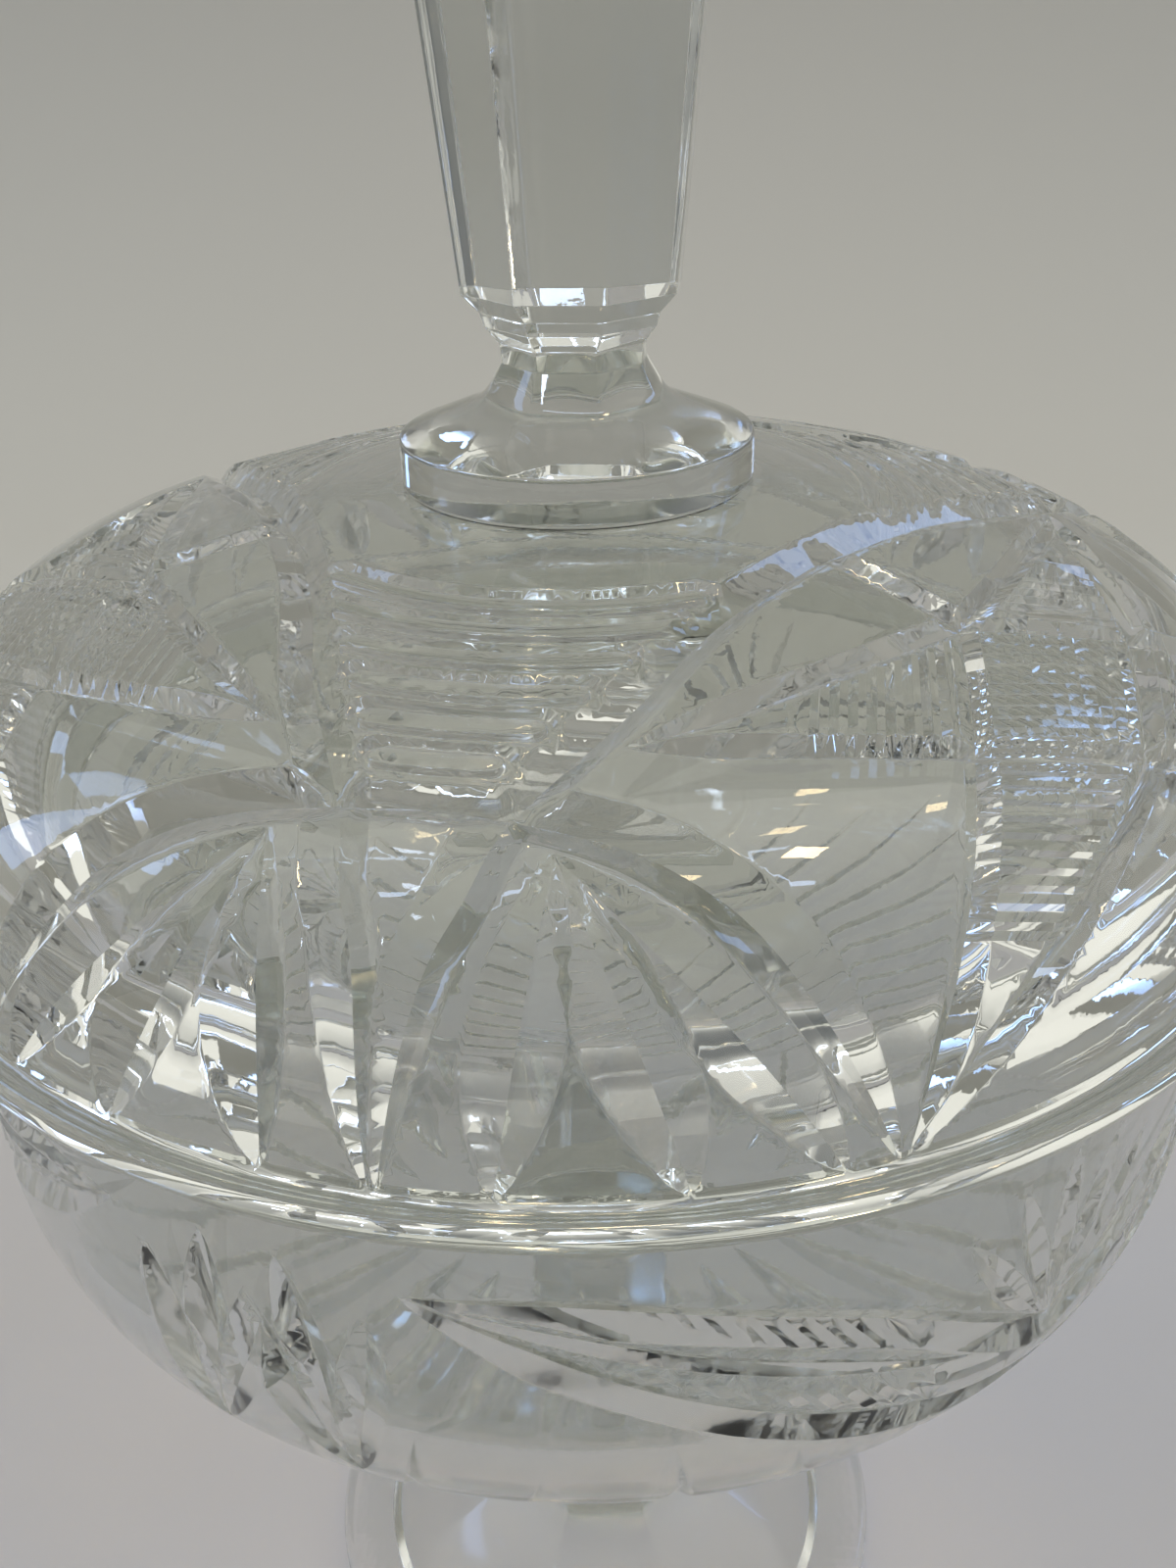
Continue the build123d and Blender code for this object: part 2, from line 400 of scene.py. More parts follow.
class CutFace:
    """The face of a vessel that the wheel cuts, with the flat drawing plane that it is laid out on.

    A place on the face is an azimuth, in degrees round from the front, and a distance along the
    section. The plane is the face unrolled as a cone, which keeps strokes nearly their true width.
    """

    def __init__(self, outline: Outline, cone: float, cone_offset: float) -> None:
        """Lays out the face.

        Args:
            outline: Radius and height of its section, from the axis side to the rim side.
            cone: Angle on the plane over angle round the jar.
            cone_offset: Distance on the plane from the cone's point to where the face starts.
        """
        self.outline = np.array(outline)
        steps = np.diff(self.outline, axis=0)
        lengths = np.linalg.norm(steps, axis=1)
        self.reach = np.concatenate([[0.0], np.cumsum(lengths)])
        tangents = steps / lengths[:, None]
        mean = np.vstack([tangents[:1], tangents[:-1] + tangents[1:], tangents[-1:]])
        mean /= np.linalg.norm(mean, axis=1)[:, None]
        self.normals = np.stack([-mean[:, 1], mean[:, 0]], axis=1)
        if self.normals[-1, 0] < 0:
            self.normals = -self.normals
        self.cone, self.cone_offset = cone, cone_offset

    @property
    def length(self) -> float:
        """Length of the section."""
        return float(self.reach[-1])

    def along_at_radius(self, radius: float) -> float:
        """Distance along the section to where it is that far from the axis."""
        return float(np.interp(radius, self.outline[:, 0], self.reach))

    def along_at_height(self, height: float) -> float:
        """Distance along the section to that height, on a face that rises towards the rim."""
        return float(np.interp(height, self.outline[:, 1], self.reach))

    def plane(self, azimuth: float | Points, along: float | Points) -> Points:
        """Place on the drawing plane.

        Args:
            azimuth: Degrees round the jar.
            along: Distance along the section.

        Returns:
            Its x and y on the plane, one row each.
        """
        angle = np.radians(azimuth) * self.cone
        far = np.asarray(along) + self.cone_offset
        return np.stack([far * np.sin(angle), far * np.cos(angle)], axis=-1)

    def off_plane(self, spots: Points) -> tuple[Points, Points]:
        """Azimuth in degrees, and distance along the section, of places on the plane."""
        far = np.hypot(spots[:, 0], spots[:, 1])
        azimuth = np.degrees(np.arctan2(spots[:, 0], spots[:, 1])) / self.cone
        return azimuth, far - self.cone_offset

    def solid(self, azimuth: Points, along: Points, depth: Points) -> Points:
        """Points in space.

        Args:
            azimuth: Degrees round the jar from the front.
            along: Distances along the section.
            depth: How deep the cut is there.

        Returns:
            x, y and z, one row each.
        """
        radius = np.interp(along, self.reach, self.outline[:, 0])
        height = np.interp(along, self.reach, self.outline[:, 1])
        radius = radius - depth * np.interp(along, self.reach, self.normals[:, 0])
        height = height - depth * np.interp(along, self.reach, self.normals[:, 1])
        return turned(radius, height, azimuth)


# ---- cuts -------------------------------------------------------------------------------------------
@dataclass
class CreaseLine:
    """A line on the drawing plane that the mesh has edges along."""

    points: Points
    crisp: bool = False


class Taper(Enum):
    """How a stroke's width runs from its start to its end."""

    EVEN = "even"
    FROM_POINT = "from_point"
    TO_POINT = "to_point"
    BOTH = "both"
    LEAF = "leaf"

    def share(self, t: Points) -> Points:
        """Share of the full width and depth at t, which runs from 0 to 1."""
        least = 0.06
        if self is Taper.FROM_POINT:
            full = np.clip(t / 0.2, 0, 1) ** 0.75
        elif self is Taper.TO_POINT:
            full = np.clip((1 - t) / 0.25, 0, 1) ** 0.75
        elif self is Taper.BOTH:
            full = (np.clip(t / 0.3, 0, 1) * np.clip((1 - t) / 0.3, 0, 1)) ** 0.8
        elif self is Taper.LEAF:
            full = np.clip(np.sin(np.pi * t**1.15), 0, 1) ** 0.72
        else:
            full = np.ones_like(t)
        return least + (1 - least) * full


def smooth_path(knots: Points, step: float) -> Points:
    """A Catmull-Rom curve through the knots, resampled evenly.

    Args:
        knots: The points it passes through.
        step: Distance between the points that come back, at most.

    Returns:
        The resampled points.
    """
    if len(knots) > 2:
        padded = np.vstack([2 * knots[0] - knots[1], knots, 2 * knots[-1] - knots[-2]])
        t = np.linspace(0, 1, 12, endpoint=False)[:, None]
        pieces = []
        for a, b, c, d in zip(padded, padded[1:], padded[2:], padded[3:]):
            bend = 2 * a - 5 * b + 4 * c - d
            pieces.append(b + 0.5 * ((c - a) * t + bend * t**2 + (3 * b - a - 3 * c + d) * t**3))
        knots = np.vstack(pieces + [knots[-1:]])
    travelled = np.concatenate([[0], np.cumsum(np.linalg.norm(np.diff(knots, axis=0), axis=1))])
    even = np.linspace(0, travelled[-1], max(2, math.ceil(travelled[-1] / step)) + 1)
    return np.stack([np.interp(even, travelled, knots[:, i]) for i in (0, 1)], axis=1)


def path_frame(path: Points) -> tuple[Points, Points]:
    """Unit vectors along a path and across it, at each of its points."""
    tangent = np.gradient(path, axis=0)
    tangent /= np.linalg.norm(tangent, axis=1)[:, None]
    return tangent, np.stack([-tangent[:, 1], tangent[:, 0]], axis=1)


def nearest_on(spots: Points, origin: Points, run: Points) -> tuple[Points, Points]:
    """Share along a straight run of its point nearest to each place, and how far off that is."""
    t = np.clip(((spots - origin) @ run) / (run @ run), 0, 1)
    return t, np.linalg.norm(spots - origin - t[:, None] * run, axis=1)


def square_to(line: Points) -> Points:
    """The direction at right angles to a line on the drawing plane."""
    return np.array([-line[1], line[0]])


class Stroke:
    """One stroke of the mitre wheel: a V-groove along a path, with its arrises fire-polished."""

    edge: float = 0.045  # share of the half width over which the arrises are rounded
    hollow_lines: tuple = (0.35, 0.7, 1.0)  # shares of the half width where a hollow's mesh has edges

    def __init__(
        self,
        knots: Points,
        width: float,
        depth: float,
        taper: Taper = Taper.EVEN,
        step: float = 0.9,
        hollow: bool = False,
    ) -> None:
        """Lays out the stroke.

        Args:
            knots: Places on the drawing plane that its middle passes through.
            width: Full width.
            depth: Full depth.
            taper: How it runs out at its ends.
            step: Distance between the mesh's points along it.
            hollow: Whether it is a pressed, rounded hollow and not a V-groove.
        """
        self.path = smooth_path(np.asarray(knots, float), step)
        share = taper.share(np.linspace(0, 1, len(self.path)))
        self.half_width = width / 2 * share
        self.deep = depth * share
        self.hollow = hollow
        self.across = path_frame(self.path)[1]

    def lines(self) -> list[CreaseLine]:
        """The floor's lines and those of both edges."""
        made = [CreaseLine(self.path, crisp=not self.hollow)]
        shares = self.hollow_lines if self.hollow else (1 - self.edge, 1 + self.edge)
        for side in (-1, 1):
            for share in shares:
                offset = side * share * self.half_width
                made.append(CreaseLine(self.path + self.across * offset[:, None]))
        return made

    def level(self, spots: Points) -> Points:
        """Depth of the groove at each place, below 0 beyond its edges."""
        level = np.full(len(spots), -1.0)
        near = self._near(spots)
        if not near.any():
            return level
        chosen = spots[near]
        best, result = np.full(len(chosen), np.inf), np.full(len(chosen), -1.0)
        for i, (origin, run) in enumerate(zip(self.path[:-1], np.diff(self.path, axis=0))):
            t, away = nearest_on(chosen, origin, run)
            wide = self.half_width[i] + t * (self.half_width[i + 1] - self.half_width[i])
            deep = self.deep[i] + t * (self.deep[i + 1] - self.deep[i])
            here = away < best
            best = np.where(here, away, best)
            depth = deep * (1 - away / wide)
            if self.hollow:
                bowed = deep * (1 + np.cos(np.pi * np.minimum(away / wide, 1))) / 2
                depth = np.where(away < wide, bowed, depth)
            result = np.where(here, depth, result)
        level[near] = result
        return level

    def _near(self, spots: Points) -> Points:
        """Which places lie in the box round the stroke."""
        margin = float(self.half_width.max()) * 1.5 + 1
        low, high = self.path.min(0) - margin, self.path.max(0) + margin
        return ((spots >= low) & (spots <= high)).all(axis=1)


class FluteField:
    """Fine V-flutes side by side over a convex patch, or two crossing sets that leave points."""

    shortest: float = 0.3  # the mesh has no edges along a line shorter than this
    far: float = 1e3  # farther than any patch reaches
    parallel: float = 1e-9  # a line at a smaller slope to a side never meets it
    peak_rows: int = 12  # rows of points looked at on each side of the middle
    peak_inset: float = 0.1  # a point nearer than this to the patch's outline is left out

    def __init__(self, corners: Points, directions: list[Points], pitch: float, depth: float) -> None:
        """Lays out the field.

        Args:
            corners: The patch's corners, in order round it.
            directions: One vector across each set of flutes.
            pitch: Distance from one flute to the next.
            depth: Depth of a flute.
        """
        corners = np.asarray(corners, float)
        turn = np.cross(corners[1] - corners[0], corners[2] - corners[1])
        self.corners = corners if turn > 0 else corners[::-1]
        self.directions = [np.asarray(d, float) / np.linalg.norm(d) for d in directions]
        self.pitch, self.depth = pitch, depth
        self.origin = self.corners.mean(axis=0)

    def _sides(self) -> list[tuple[Points, Points]]:
        """Each corner, and the direction from it to the next."""
        following = np.roll(self.corners, -1, axis=0)
        return [(a, (b - a) / np.linalg.norm(b - a)) for a, b in zip(self.corners, following)]

    def inside(self, spots: Points, margin: float = 0.0) -> Points:
        """Which places are in the patch, by more than the margin."""
        keep = np.ones(len(spots), bool)
        for corner, edge in self._sides():
            offset = spots - corner
            keep &= edge[0] * offset[:, 1] - edge[1] * offset[:, 0] > margin
        return keep

    def level(self, spots: Points) -> Points:
        """Depth of the flutes at each place, below 0 outside the patch."""
        level = np.full(len(spots), -1.0)
        inside = self.inside(spots)
        for direction in self.directions:
            phase = ((spots - self.origin) @ direction) / self.pitch
            saw = 2 * np.abs(phase - np.round(phase))
            level = np.where(inside, np.maximum(level, self.depth * (1 - saw)), level)
        return level

    def lines(self) -> list[CreaseLine]:
        """The floors of the flutes and, where only one set runs, the ridges between them."""
        made = []
        step = 0.5 if len(self.directions) == 1 else 1.0
        for direction in self.directions:
            spread = (self.corners - self.origin) @ direction
            first, last = math.ceil(spread.min() / self.pitch), math.floor(spread.max() / self.pitch)
            for n in np.arange(first - 1, last + 1 + step, step):
                line = self._clipped(self.origin + n * self.pitch * direction, square_to(direction))
                if line is not None:
                    made.append(CreaseLine(line, crisp=True))
        return made

    def peaks(self) -> Points:
        """Tips of the points that two crossing sets leave."""
        if len(self.directions) == 1:
            return np.empty((0, 2))
        basis = np.linalg.inv(np.stack(self.directions)) * self.pitch
        count = np.arange(-self.peak_rows, self.peak_rows) + 0.5
        cells = np.stack(np.meshgrid(count, count), axis=-1).reshape(-1, 2)
        tips = self.origin + cells @ basis.T
        return tips[self.inside(tips, self.peak_inset)]

    def _clipped(self, through: Points, along: Points) -> Points | None:
        """The stretch of a straight line that is in the patch."""
        low, high = -self.far, self.far
        for corner, edge in self._sides():
            rate = edge[0] * along[1] - edge[1] * along[0]
            offset = through - corner
            room = edge[0] * offset[1] - edge[1] * offset[0]
            if abs(rate) < self.parallel:
                if room <= 0:
                    return None
            elif rate > 0:
                low = max(low, -room / rate)
            else:
                high = min(high, -room / rate)
        if high - low < self.shortest:
            return None
        return np.array([through + low * along, through + high * along])


class BarLadder:
    """Rounded bars across a sunk panel, one above the other, that run on over the wedge's edge."""

    depth: float = 0.75
    moat: float = 1.05  # width of the sunk panel round each bar
    bank: float = 0.55  # share of the moat over which its outer side rises
    foot: float = 0.45  # share of the moat where that rise starts
    top: float = 0.12  # how far a bar's top lies below the face
    shoulders: tuple = (0.7, 0.88, 1.0)  # shares of half a bar's width where its mesh has edges

    def __init__(self, face: CutFace, rungs: list[tuple[float, float]], half_bar: float) -> None:
        """Lays out the bars.

        Args:
            face: The face they are cut in.
            rungs: Distance along the section, and azimuth of the end, of each bar.
            half_bar: Half a bar's width.
        """
        self.half_bar = half_bar
        self.spines = []
        for along, end in rungs:
            azimuths = np.linspace(-end, end, 2 * max(3, round(end / 1.5)) + 1)
            self.spines.append(face.plane(azimuths, np.full_like(azimuths, along)))

    def _away(self, spots: Points) -> Points:
        """Distance from each place to the nearest bar's spine."""
        best = np.full(len(spots), np.inf)
        for spine in self.spines:
            for origin, run in zip(spine[:-1], np.diff(spine, axis=0)):
                best = np.minimum(best, nearest_on(spots, origin, run)[1])
        return best

    def level(self, spots: Points) -> Points:
        """Depth of the moats round the bars, below 0 beyond them."""
        away = self._away(spots)
        crown = np.clip(away / self.half_bar, 0, 1)
        bar = self.top + (self.depth - self.top) * (1 - np.sqrt(np.maximum(0, 1 - crown**6)))
        outside = self.depth * (self.half_bar + self.moat - away) / (self.bank * self.moat)
        return np.where(away < self.half_bar, bar, np.minimum(self.depth, outside))

    def lines(self) -> list[CreaseLine]:
        """Outlines round each bar, at its shoulders, its foot and the moat's outer edge."""
        made = []
        reaches = [self.half_bar * share for share in self.shoulders]
        reaches += [self.half_bar + self.foot * self.moat, self.half_bar + self.moat]
        turns = np.linspace(np.pi / 2, -np.pi / 2, 9)[1:-1]
        for spine in self.spines:
            tangent, across = path_frame(spine)
            for reach in reaches:
                caps = []
                for i, sign in ((-1, 1), (0, -1)):
                    ahead, beside = sign * tangent[i], sign * across[i]
                    swing = np.cos(turns)[:, None] * ahead + np.sin(turns)[:, None] * beside
                    caps.append(spine[i] + reach * swing)
                loop = [spine + reach * across, caps[0], (spine - reach * across)[::-1], caps[1]]
                ring = np.vstack(loop)
                made.append(CreaseLine(np.vstack([ring, ring[:1]])))
        return made


Cut = Stroke | FluteField | BarLadder


# ---- the wedge --------------------------------------------------------------------------------------
class WedgeMesher:
    """Meshes a sixth of a turned and cut glass shell, from one mirror plane of its pattern to the next."""

    span: float = 60.0  # degrees
    soften: float = 0.05  # depth over which a cut's edge is rounded
    arc_steps: int = 40
    rim_gap: float = 0.35  # lines stop this far from the face's two ends
    rim_fade: float = 0.4  # and cuts run out over this much
    field_margin: float = 0.2  # plain points stop this far outside a flute field
    side_gap: float = 0.05  # a field's peaks stop this far from the wedge's straight sides
    clearance: float = 0.42  # plain points stop this share of the grid from a line's points
    weld: float = 0.012  # points on the plane that are closer than this are one
    sliver: float = 0.004  # a triangle that reaches no farther into the wedge is dropped
    start: float = 1e-4  # and so is one whose middle is no farther than this along the face
    corner: float = math.radians(28)  # a section that turns by more than this has a sharp ring

    def __init__(self, face: CutFace, cuts: list[Cut], grid: float = 0.8) -> None:
        """Takes what is to be meshed.

        Args:
            face: The cut face.
            cuts: Its strokes, fields and ladders.
            grid: Distance between the plain face's points.
        """
        self.face, self.cuts, self.grid = face, cuts, grid
        self.azimuths = np.linspace(0, self.span, self.arc_steps + 1)
        far = math.radians(self.span) * face.cone
        # inward normals of the wedge's two straight sides on the drawing plane
        self.half_planes = [np.array([1.0, 0.0]), np.array([-math.cos(far), math.sin(far)])]

    def depth(self, spots: Points) -> Points:
        """Depth of the cutting at places on the drawing plane."""
        level = np.full(len(spots), -1.0)
        for cut in self.cuts:
            level = np.maximum(level, cut.level(spots))
        k = self.soften
        eased = (level + k) ** 2 / (4 * k)
        return np.where(level > k, level, np.where(level > -k, eased, 0.0))

    def _clip(self, line: Points) -> list[Points]:
        """The stretches of a line that are within the wedge, cut exactly at its sides."""
        pieces, current = [], []
        low = self.face.cone_offset + self.rim_gap
        high = self.face.length + self.face.cone_offset - self.rim_gap
        for a, b in zip(line[:-1], line[1:]):
            start, end = 0.0, 1.0
            for normal in self.half_planes:
                here, there = a @ normal, b @ normal
                if here < 0 and there < 0:
                    start, end = 1.0, 0.0
                elif here < 0:
                    start = max(start, here / (here - there))
                elif there < 0:
                    end = min(end, here / (here - there))
            p, q = a + start * (b - a), a + end * (b - a)
            reach = [np.hypot(*p), np.hypot(*q)]
            if start >= end or min(reach) < low or max(reach) > high:
                pieces.append(current)
                current = []
                continue
            current = (current or [p]) + [q]
            if end < 1.0:
                pieces.append(current)
                current = []
        return [np.array(piece) for piece in pieces + [current] if len(piece) > 1]

    def _sides(self) -> tuple[list[Points], Points]:
        """The wedge's outline as four lines, and the plain face's points inside it."""
        face = self.face
        reaches = np.linspace(0, face.length, round(face.length / self.grid) + 1)
        sides = [face.plane(self.azimuths, np.full_like(self.azimuths, s)) for s in (0.0, face.length)]
        sides += [face.plane(np.full_like(reaches, a), reaches) for a in (0.0, self.span)]
        spots = []
        for n, along in enumerate(reaches[1:-1]):
            width = math.radians(self.span) * face.cone * (along + face.cone_offset)
            count = max(2, round(width / self.grid))
            row = (np.arange(count) + 0.25 * (1 + n % 2)) / count * self.span
            spots.append(face.plane(row, np.full_like(row, along)))
        return sides, np.vstack(spots)

    def patch(self) -> tuple[Points, list[tuple], set[tuple[int, int]]]:
        """Meshes the cut face.

        Returns:
            Its points in space, its triangles, and its crisp edges.
        """
        coords: list[Vector] = []
        edges: list[tuple[int, int]] = []
        crisp: list[bool] = []

        def add_points(points: Points) -> None:
            """Adds loose points."""
            coords.extend(Vector((float(x), float(y))) for x, y in points)

        def add_line(points: Points, is_crisp: bool) -> None:
            """Adds the points of a line and the edges between them."""
            first = len(coords)
            add_points(points)
            edges.extend((first + i, first + i + 1) for i in range(len(points) - 1))
            crisp.extend([is_crisp] * (len(points) - 1))

        sides, spots = self._sides()
        for side in sides:
            add_line(side, False)
        for cut in self.cuts:
            for line in cut.lines():
                for piece in self._clip(line.points):
                    add_line(piece, line.crisp)
        tree = kdtree.KDTree(len(coords))
        for i, at in enumerate(coords):
            tree.insert((at.x, at.y, 0.0), i)
        tree.balance()
        keep = np.ones(len(spots), bool)
        for cut in self.cuts:
            if isinstance(cut, FluteField):
                keep &= ~cut.inside(spots, -self.field_margin)
                peaks = cut.peaks()
                add_points(peaks[[all(p @ n > self.side_gap for n in self.half_planes) for p in peaks]])
        clearance = self.clearance * self.grid
        add_points([(x, y) for x, y in spots[keep] if tree.find((x, y, 0.0))[2] > clearance])
        verts, out_edges, faces, _, sources, _ = delaunay_2d_cdt(coords, edges, [], 0, self.weld)
        flat = np.array([(v.x, v.y) for v in verts])
        azimuth, along = self.face.off_plane(flat)
        azimuth = np.clip(azimuth, 0, self.span)
        along = np.clip(along, 0, self.face.length)
        rim = np.minimum(along, self.face.length - along)
        depth = self.depth(flat) * np.clip(rim / self.rim_fade, 0, 1)
        corners = np.array([list(f) for f in faces])
        real = self.face.off_plane(flat[corners].mean(axis=1))[1] > self.start
        for normal in self.half_planes:
            real &= (flat[corners] @ normal).max(axis=1) > self.sliver
        kept = [tuple(int(i) for i in f) for f in corners[real]]
        sharp = {tuple(sorted(e)) for e, s in zip(out_edges, sources) if any(crisp[i] for i in s)}
        return self.face.solid(azimuth, along, depth), kept, sharp

    def mesh(self, name: str, closing: Outline) -> bpy.types.Mesh:
        """Meshes the whole wedge.

        Args:
            name: The mesh's name.
            closing: Radius and height of the section that closes the shell, from the cut face's rim
                side round to the axis, where the last point is. A flat pad closes the other side.

        Returns:
            The wedge, in metres, open at its two mirror planes.
        """
        points, faces, sharp = self.patch()
        section = [tuple(self.face.outline[-1])] + closing
        rows = [turned(r, z, self.azimuths) for r, z in section[:-1]]
        start, count = len(points), self.arc_steps + 1
        for n in range(len(rows) - 1):
            for i in range(self.arc_steps):
                a = start + n * count + i
                faces.append((a, a + 1, a + 1 + count, a + count))
        tip = start + len(rows) * count
        last = tip - count
        faces += [(last + i, last + i + 1, tip) for i in range(self.arc_steps)]
        sharp |= self._sharp_rings(section, start, count)
        radius, height = self.face.outline[0]
        pad = tip + 1
        faces += [(pad + i, pad + i + 1, pad + count) for i in range(self.arc_steps)]
        sharp |= {(pad + i, pad + i + 1) for i in range(self.arc_steps)}
        on_axis = [np.array([[0.0, 0.0, z]]) for z in (closing[-1][1], height)]
        everything = [points, *rows, on_axis[0], turned(radius, height, self.azimuths), on_axis[1]]
        mesh = bpy.data.meshes.new(name)
        mesh.from_pydata((np.vstack(everything) * MM).tolist(), [], faces, shade_flat=False)
        edge_keys = {tuple(sorted(e.vertices)): e.index for e in mesh.edges}
        marks = mesh.attributes.new("sharp_edge", "BOOLEAN", "EDGE")
        for key in sharp:
            if key in edge_keys:
                marks.data[edge_keys[key]].value = True
        return mesh

    def _sharp_rings(self, section: Outline, start: int, count: int) -> set[tuple[int, int]]:
        """Edges of the rings where the section turns a clear corner."""
        made: set[tuple[int, int]] = set()
        for n in range(1, len(section) - 1):
            before = Vector(section[n]) - Vector(section[n - 1])
            after = Vector(section[n + 1]) - Vector(section[n])
            if before.length > 0 and after.length > 0 and before.angle(after) > self.corner:
                first = start + n * count
                made |= {(first + i, first + i + 1) for i in range(self.arc_steps)}
        return made


def add_object(name: str, data: bpy.types.ID) -> bpy.types.Object:
    """Makes an object, linked to the scene.

    Args:
        name: The object's name.
        data: Its mesh, lamp or camera.

    Returns:
        The new object.
    """
    made = bpy.data.objects.new(name, data)
    bpy.context.scene.collection.objects.link(made)
    return made


def evaluated_mesh(maker: bpy.types.Object) -> bpy.types.Mesh:
    """A plain mesh of what an object's modifiers make."""
    return bpy.data.meshes.new_from_object(maker.evaluated_get(bpy.context.evaluated_depsgraph_get()))


def ring_of_wedges(
    wedge: bpy.types.Mesh, name: str, turn: float, glass: bpy.types.Material
) -> bpy.types.Object:
    """Mirrors a wedge and repeats the pair round the axis with Geometry Nodes, as one plain mesh.

    Args:
        wedge: A sixth of a turn, from azimuth 0.
        name: The finished piece's name.
        turn: Degrees from the front to the pattern's first mirror plane.
        glass: The piece's material.

    Returns:
        The finished piece, linked to the scene.
    """
    tree = bpy.data.node_groups.new(f"{name}_repeat", "GeometryNodeTree")
    face = tree.interface
    face.new_socket("Wedge", in_out="INPUT", socket_type="NodeSocketGeometry")
    pairs = face.new_socket("Pairs per turn", in_out="INPUT", socket_type="NodeSocketInt")
    first = face.new_socket("Turn", in_out="INPUT", socket_type="NodeSocketFloat")
    weld = face.new_socket("Weld distance", in_out="INPUT", socket_type="NodeSocketFloat")
    face.new_socket("Piece", in_out="OUTPUT", socket_type="NodeSocketGeometry")
    given = add_node(tree, "NodeGroupInput", {}).outputs
    mirrored = add_node(
        tree, "GeometryNodeTransform", {"Scale": (-1, 1, 1)}, (given["Wedge"], "Geometry")
    )
    flipped = add_node(tree, "GeometryNodeFlipFaces", {}, (mirrored.outputs["Geometry"], "Mesh"))
    pair = add_node(
        tree,
        "GeometryNodeJoinGeometry",
        {},
        (given["Wedge"], "Geometry"),
        (flipped.outputs["Mesh"], "Geometry"),
    )
    stands = add_node(tree, "GeometryNodePoints", {}, (given["Pairs per turn"], "Count"))
    index = add_node(tree, "GeometryNodeInputIndex", {})
    share = add_node(
        tree,
        "ShaderNodeMath",
        {"operation": "DIVIDE"},
        (index.outputs["Index"], 0),
        (given["Pairs per turn"], 1),
    )
    angle = add_node(
        tree,
        "ShaderNodeMath",
        {"operation": "MULTIPLY_ADD", 1: math.tau},
        (share.outputs[0], 0),
        (given["Turn"], 2),
    )
    spin = add_node(tree, "ShaderNodeCombineXYZ", {}, (angle.outputs[0], "Z"))
    placed = add_node(
        tree,
        "GeometryNodeInstanceOnPoints",
        {},
        (stands.outputs[0], "Points"),
        (pair.outputs["Geometry"], "Instance"),
        (spin.outputs[0], "Rotation"),
    )
    real = add_node(tree, "GeometryNodeRealizeInstances", {}, (placed.outputs["Instances"], "Geometry"))
    welded = add_node(
        tree,
        "GeometryNodeMergeByDistance",
        {},
        (real.outputs["Geometry"], "Geometry"),
        (given["Weld distance"], "Distance"),
    )
    dressed = add_node(
        tree, "GeometryNodeSetMaterial", {"Material": glass}, (welded.outputs["Geometry"], "Geometry")
    )
    add_node(tree, "NodeGroupOutput", {}, (dressed.outputs["Geometry"], "Piece"))

    maker = add_object(f"{name}_maker", wedge)
    modifier = maker.modifiers.new("repeat", "NODES")
    modifier.node_group = tree
    modifier[pairs.identifier] = WEDGE_PAIRS
    modifier[first.identifier] = math.radians(turn)
    modifier[weld.identifier] = WEDGE_WELD
    mesh = evaluated_mesh(maker)
    bpy.data.objects.remove(maker)
    return finished(mesh, name, glass)


def finished(
    mesh: bpy.types.Mesh, name: str, material: bpy.types.Material, weight: int = 50
) -> bpy.types.Object:
    """Closes a mesh's seams, turns its faces outwards and gives it an object.

    Args:
        mesh: The piece's mesh, in metres, where the piece is.
        name: The piece's name.
        material: Its only material.
        weight: How its faces pull the normals: by their area at 50, and large ones more above that.

    Returns:
        The piece, linked to the scene.
    """
    work = bmesh.new()
    work.from_mesh(mesh)
    bmesh.ops.remove_doubles(work, verts=work.verts, dist=SEAM_WELD)
    bmesh.ops.dissolve_degenerate(work, edges=work.edges, dist=SHORT_EDGE)
    bmesh.ops.recalc_face_normals(work, faces=work.faces)
    open_edges = sum(1 for e in work.edges if len(e.link_faces) != 2)
    work.to_mesh(mesh)
    work.free()
    mesh.name = name
    mesh.materials.clear()
    mesh.materials.append(material)
    piece = add_object(name, mesh)
    flatten = piece.modifiers.new("flat facets, round arrises", "WEIGHTED_NORMAL")
    flatten.weight = weight
    flatten.keep_sharp = True
    piece.data = evaluated_mesh(piece)
    piece.modifiers.clear()
    piece.visible_shadow = False  # clear glass passes the light on to the cloth under it
    triangles = sum(len(p.vertices) - 2 for p in piece.data.polygons)
    LOG.info("%s: %d triangles, %d open edges", name, triangles, open_edges)
    return piece


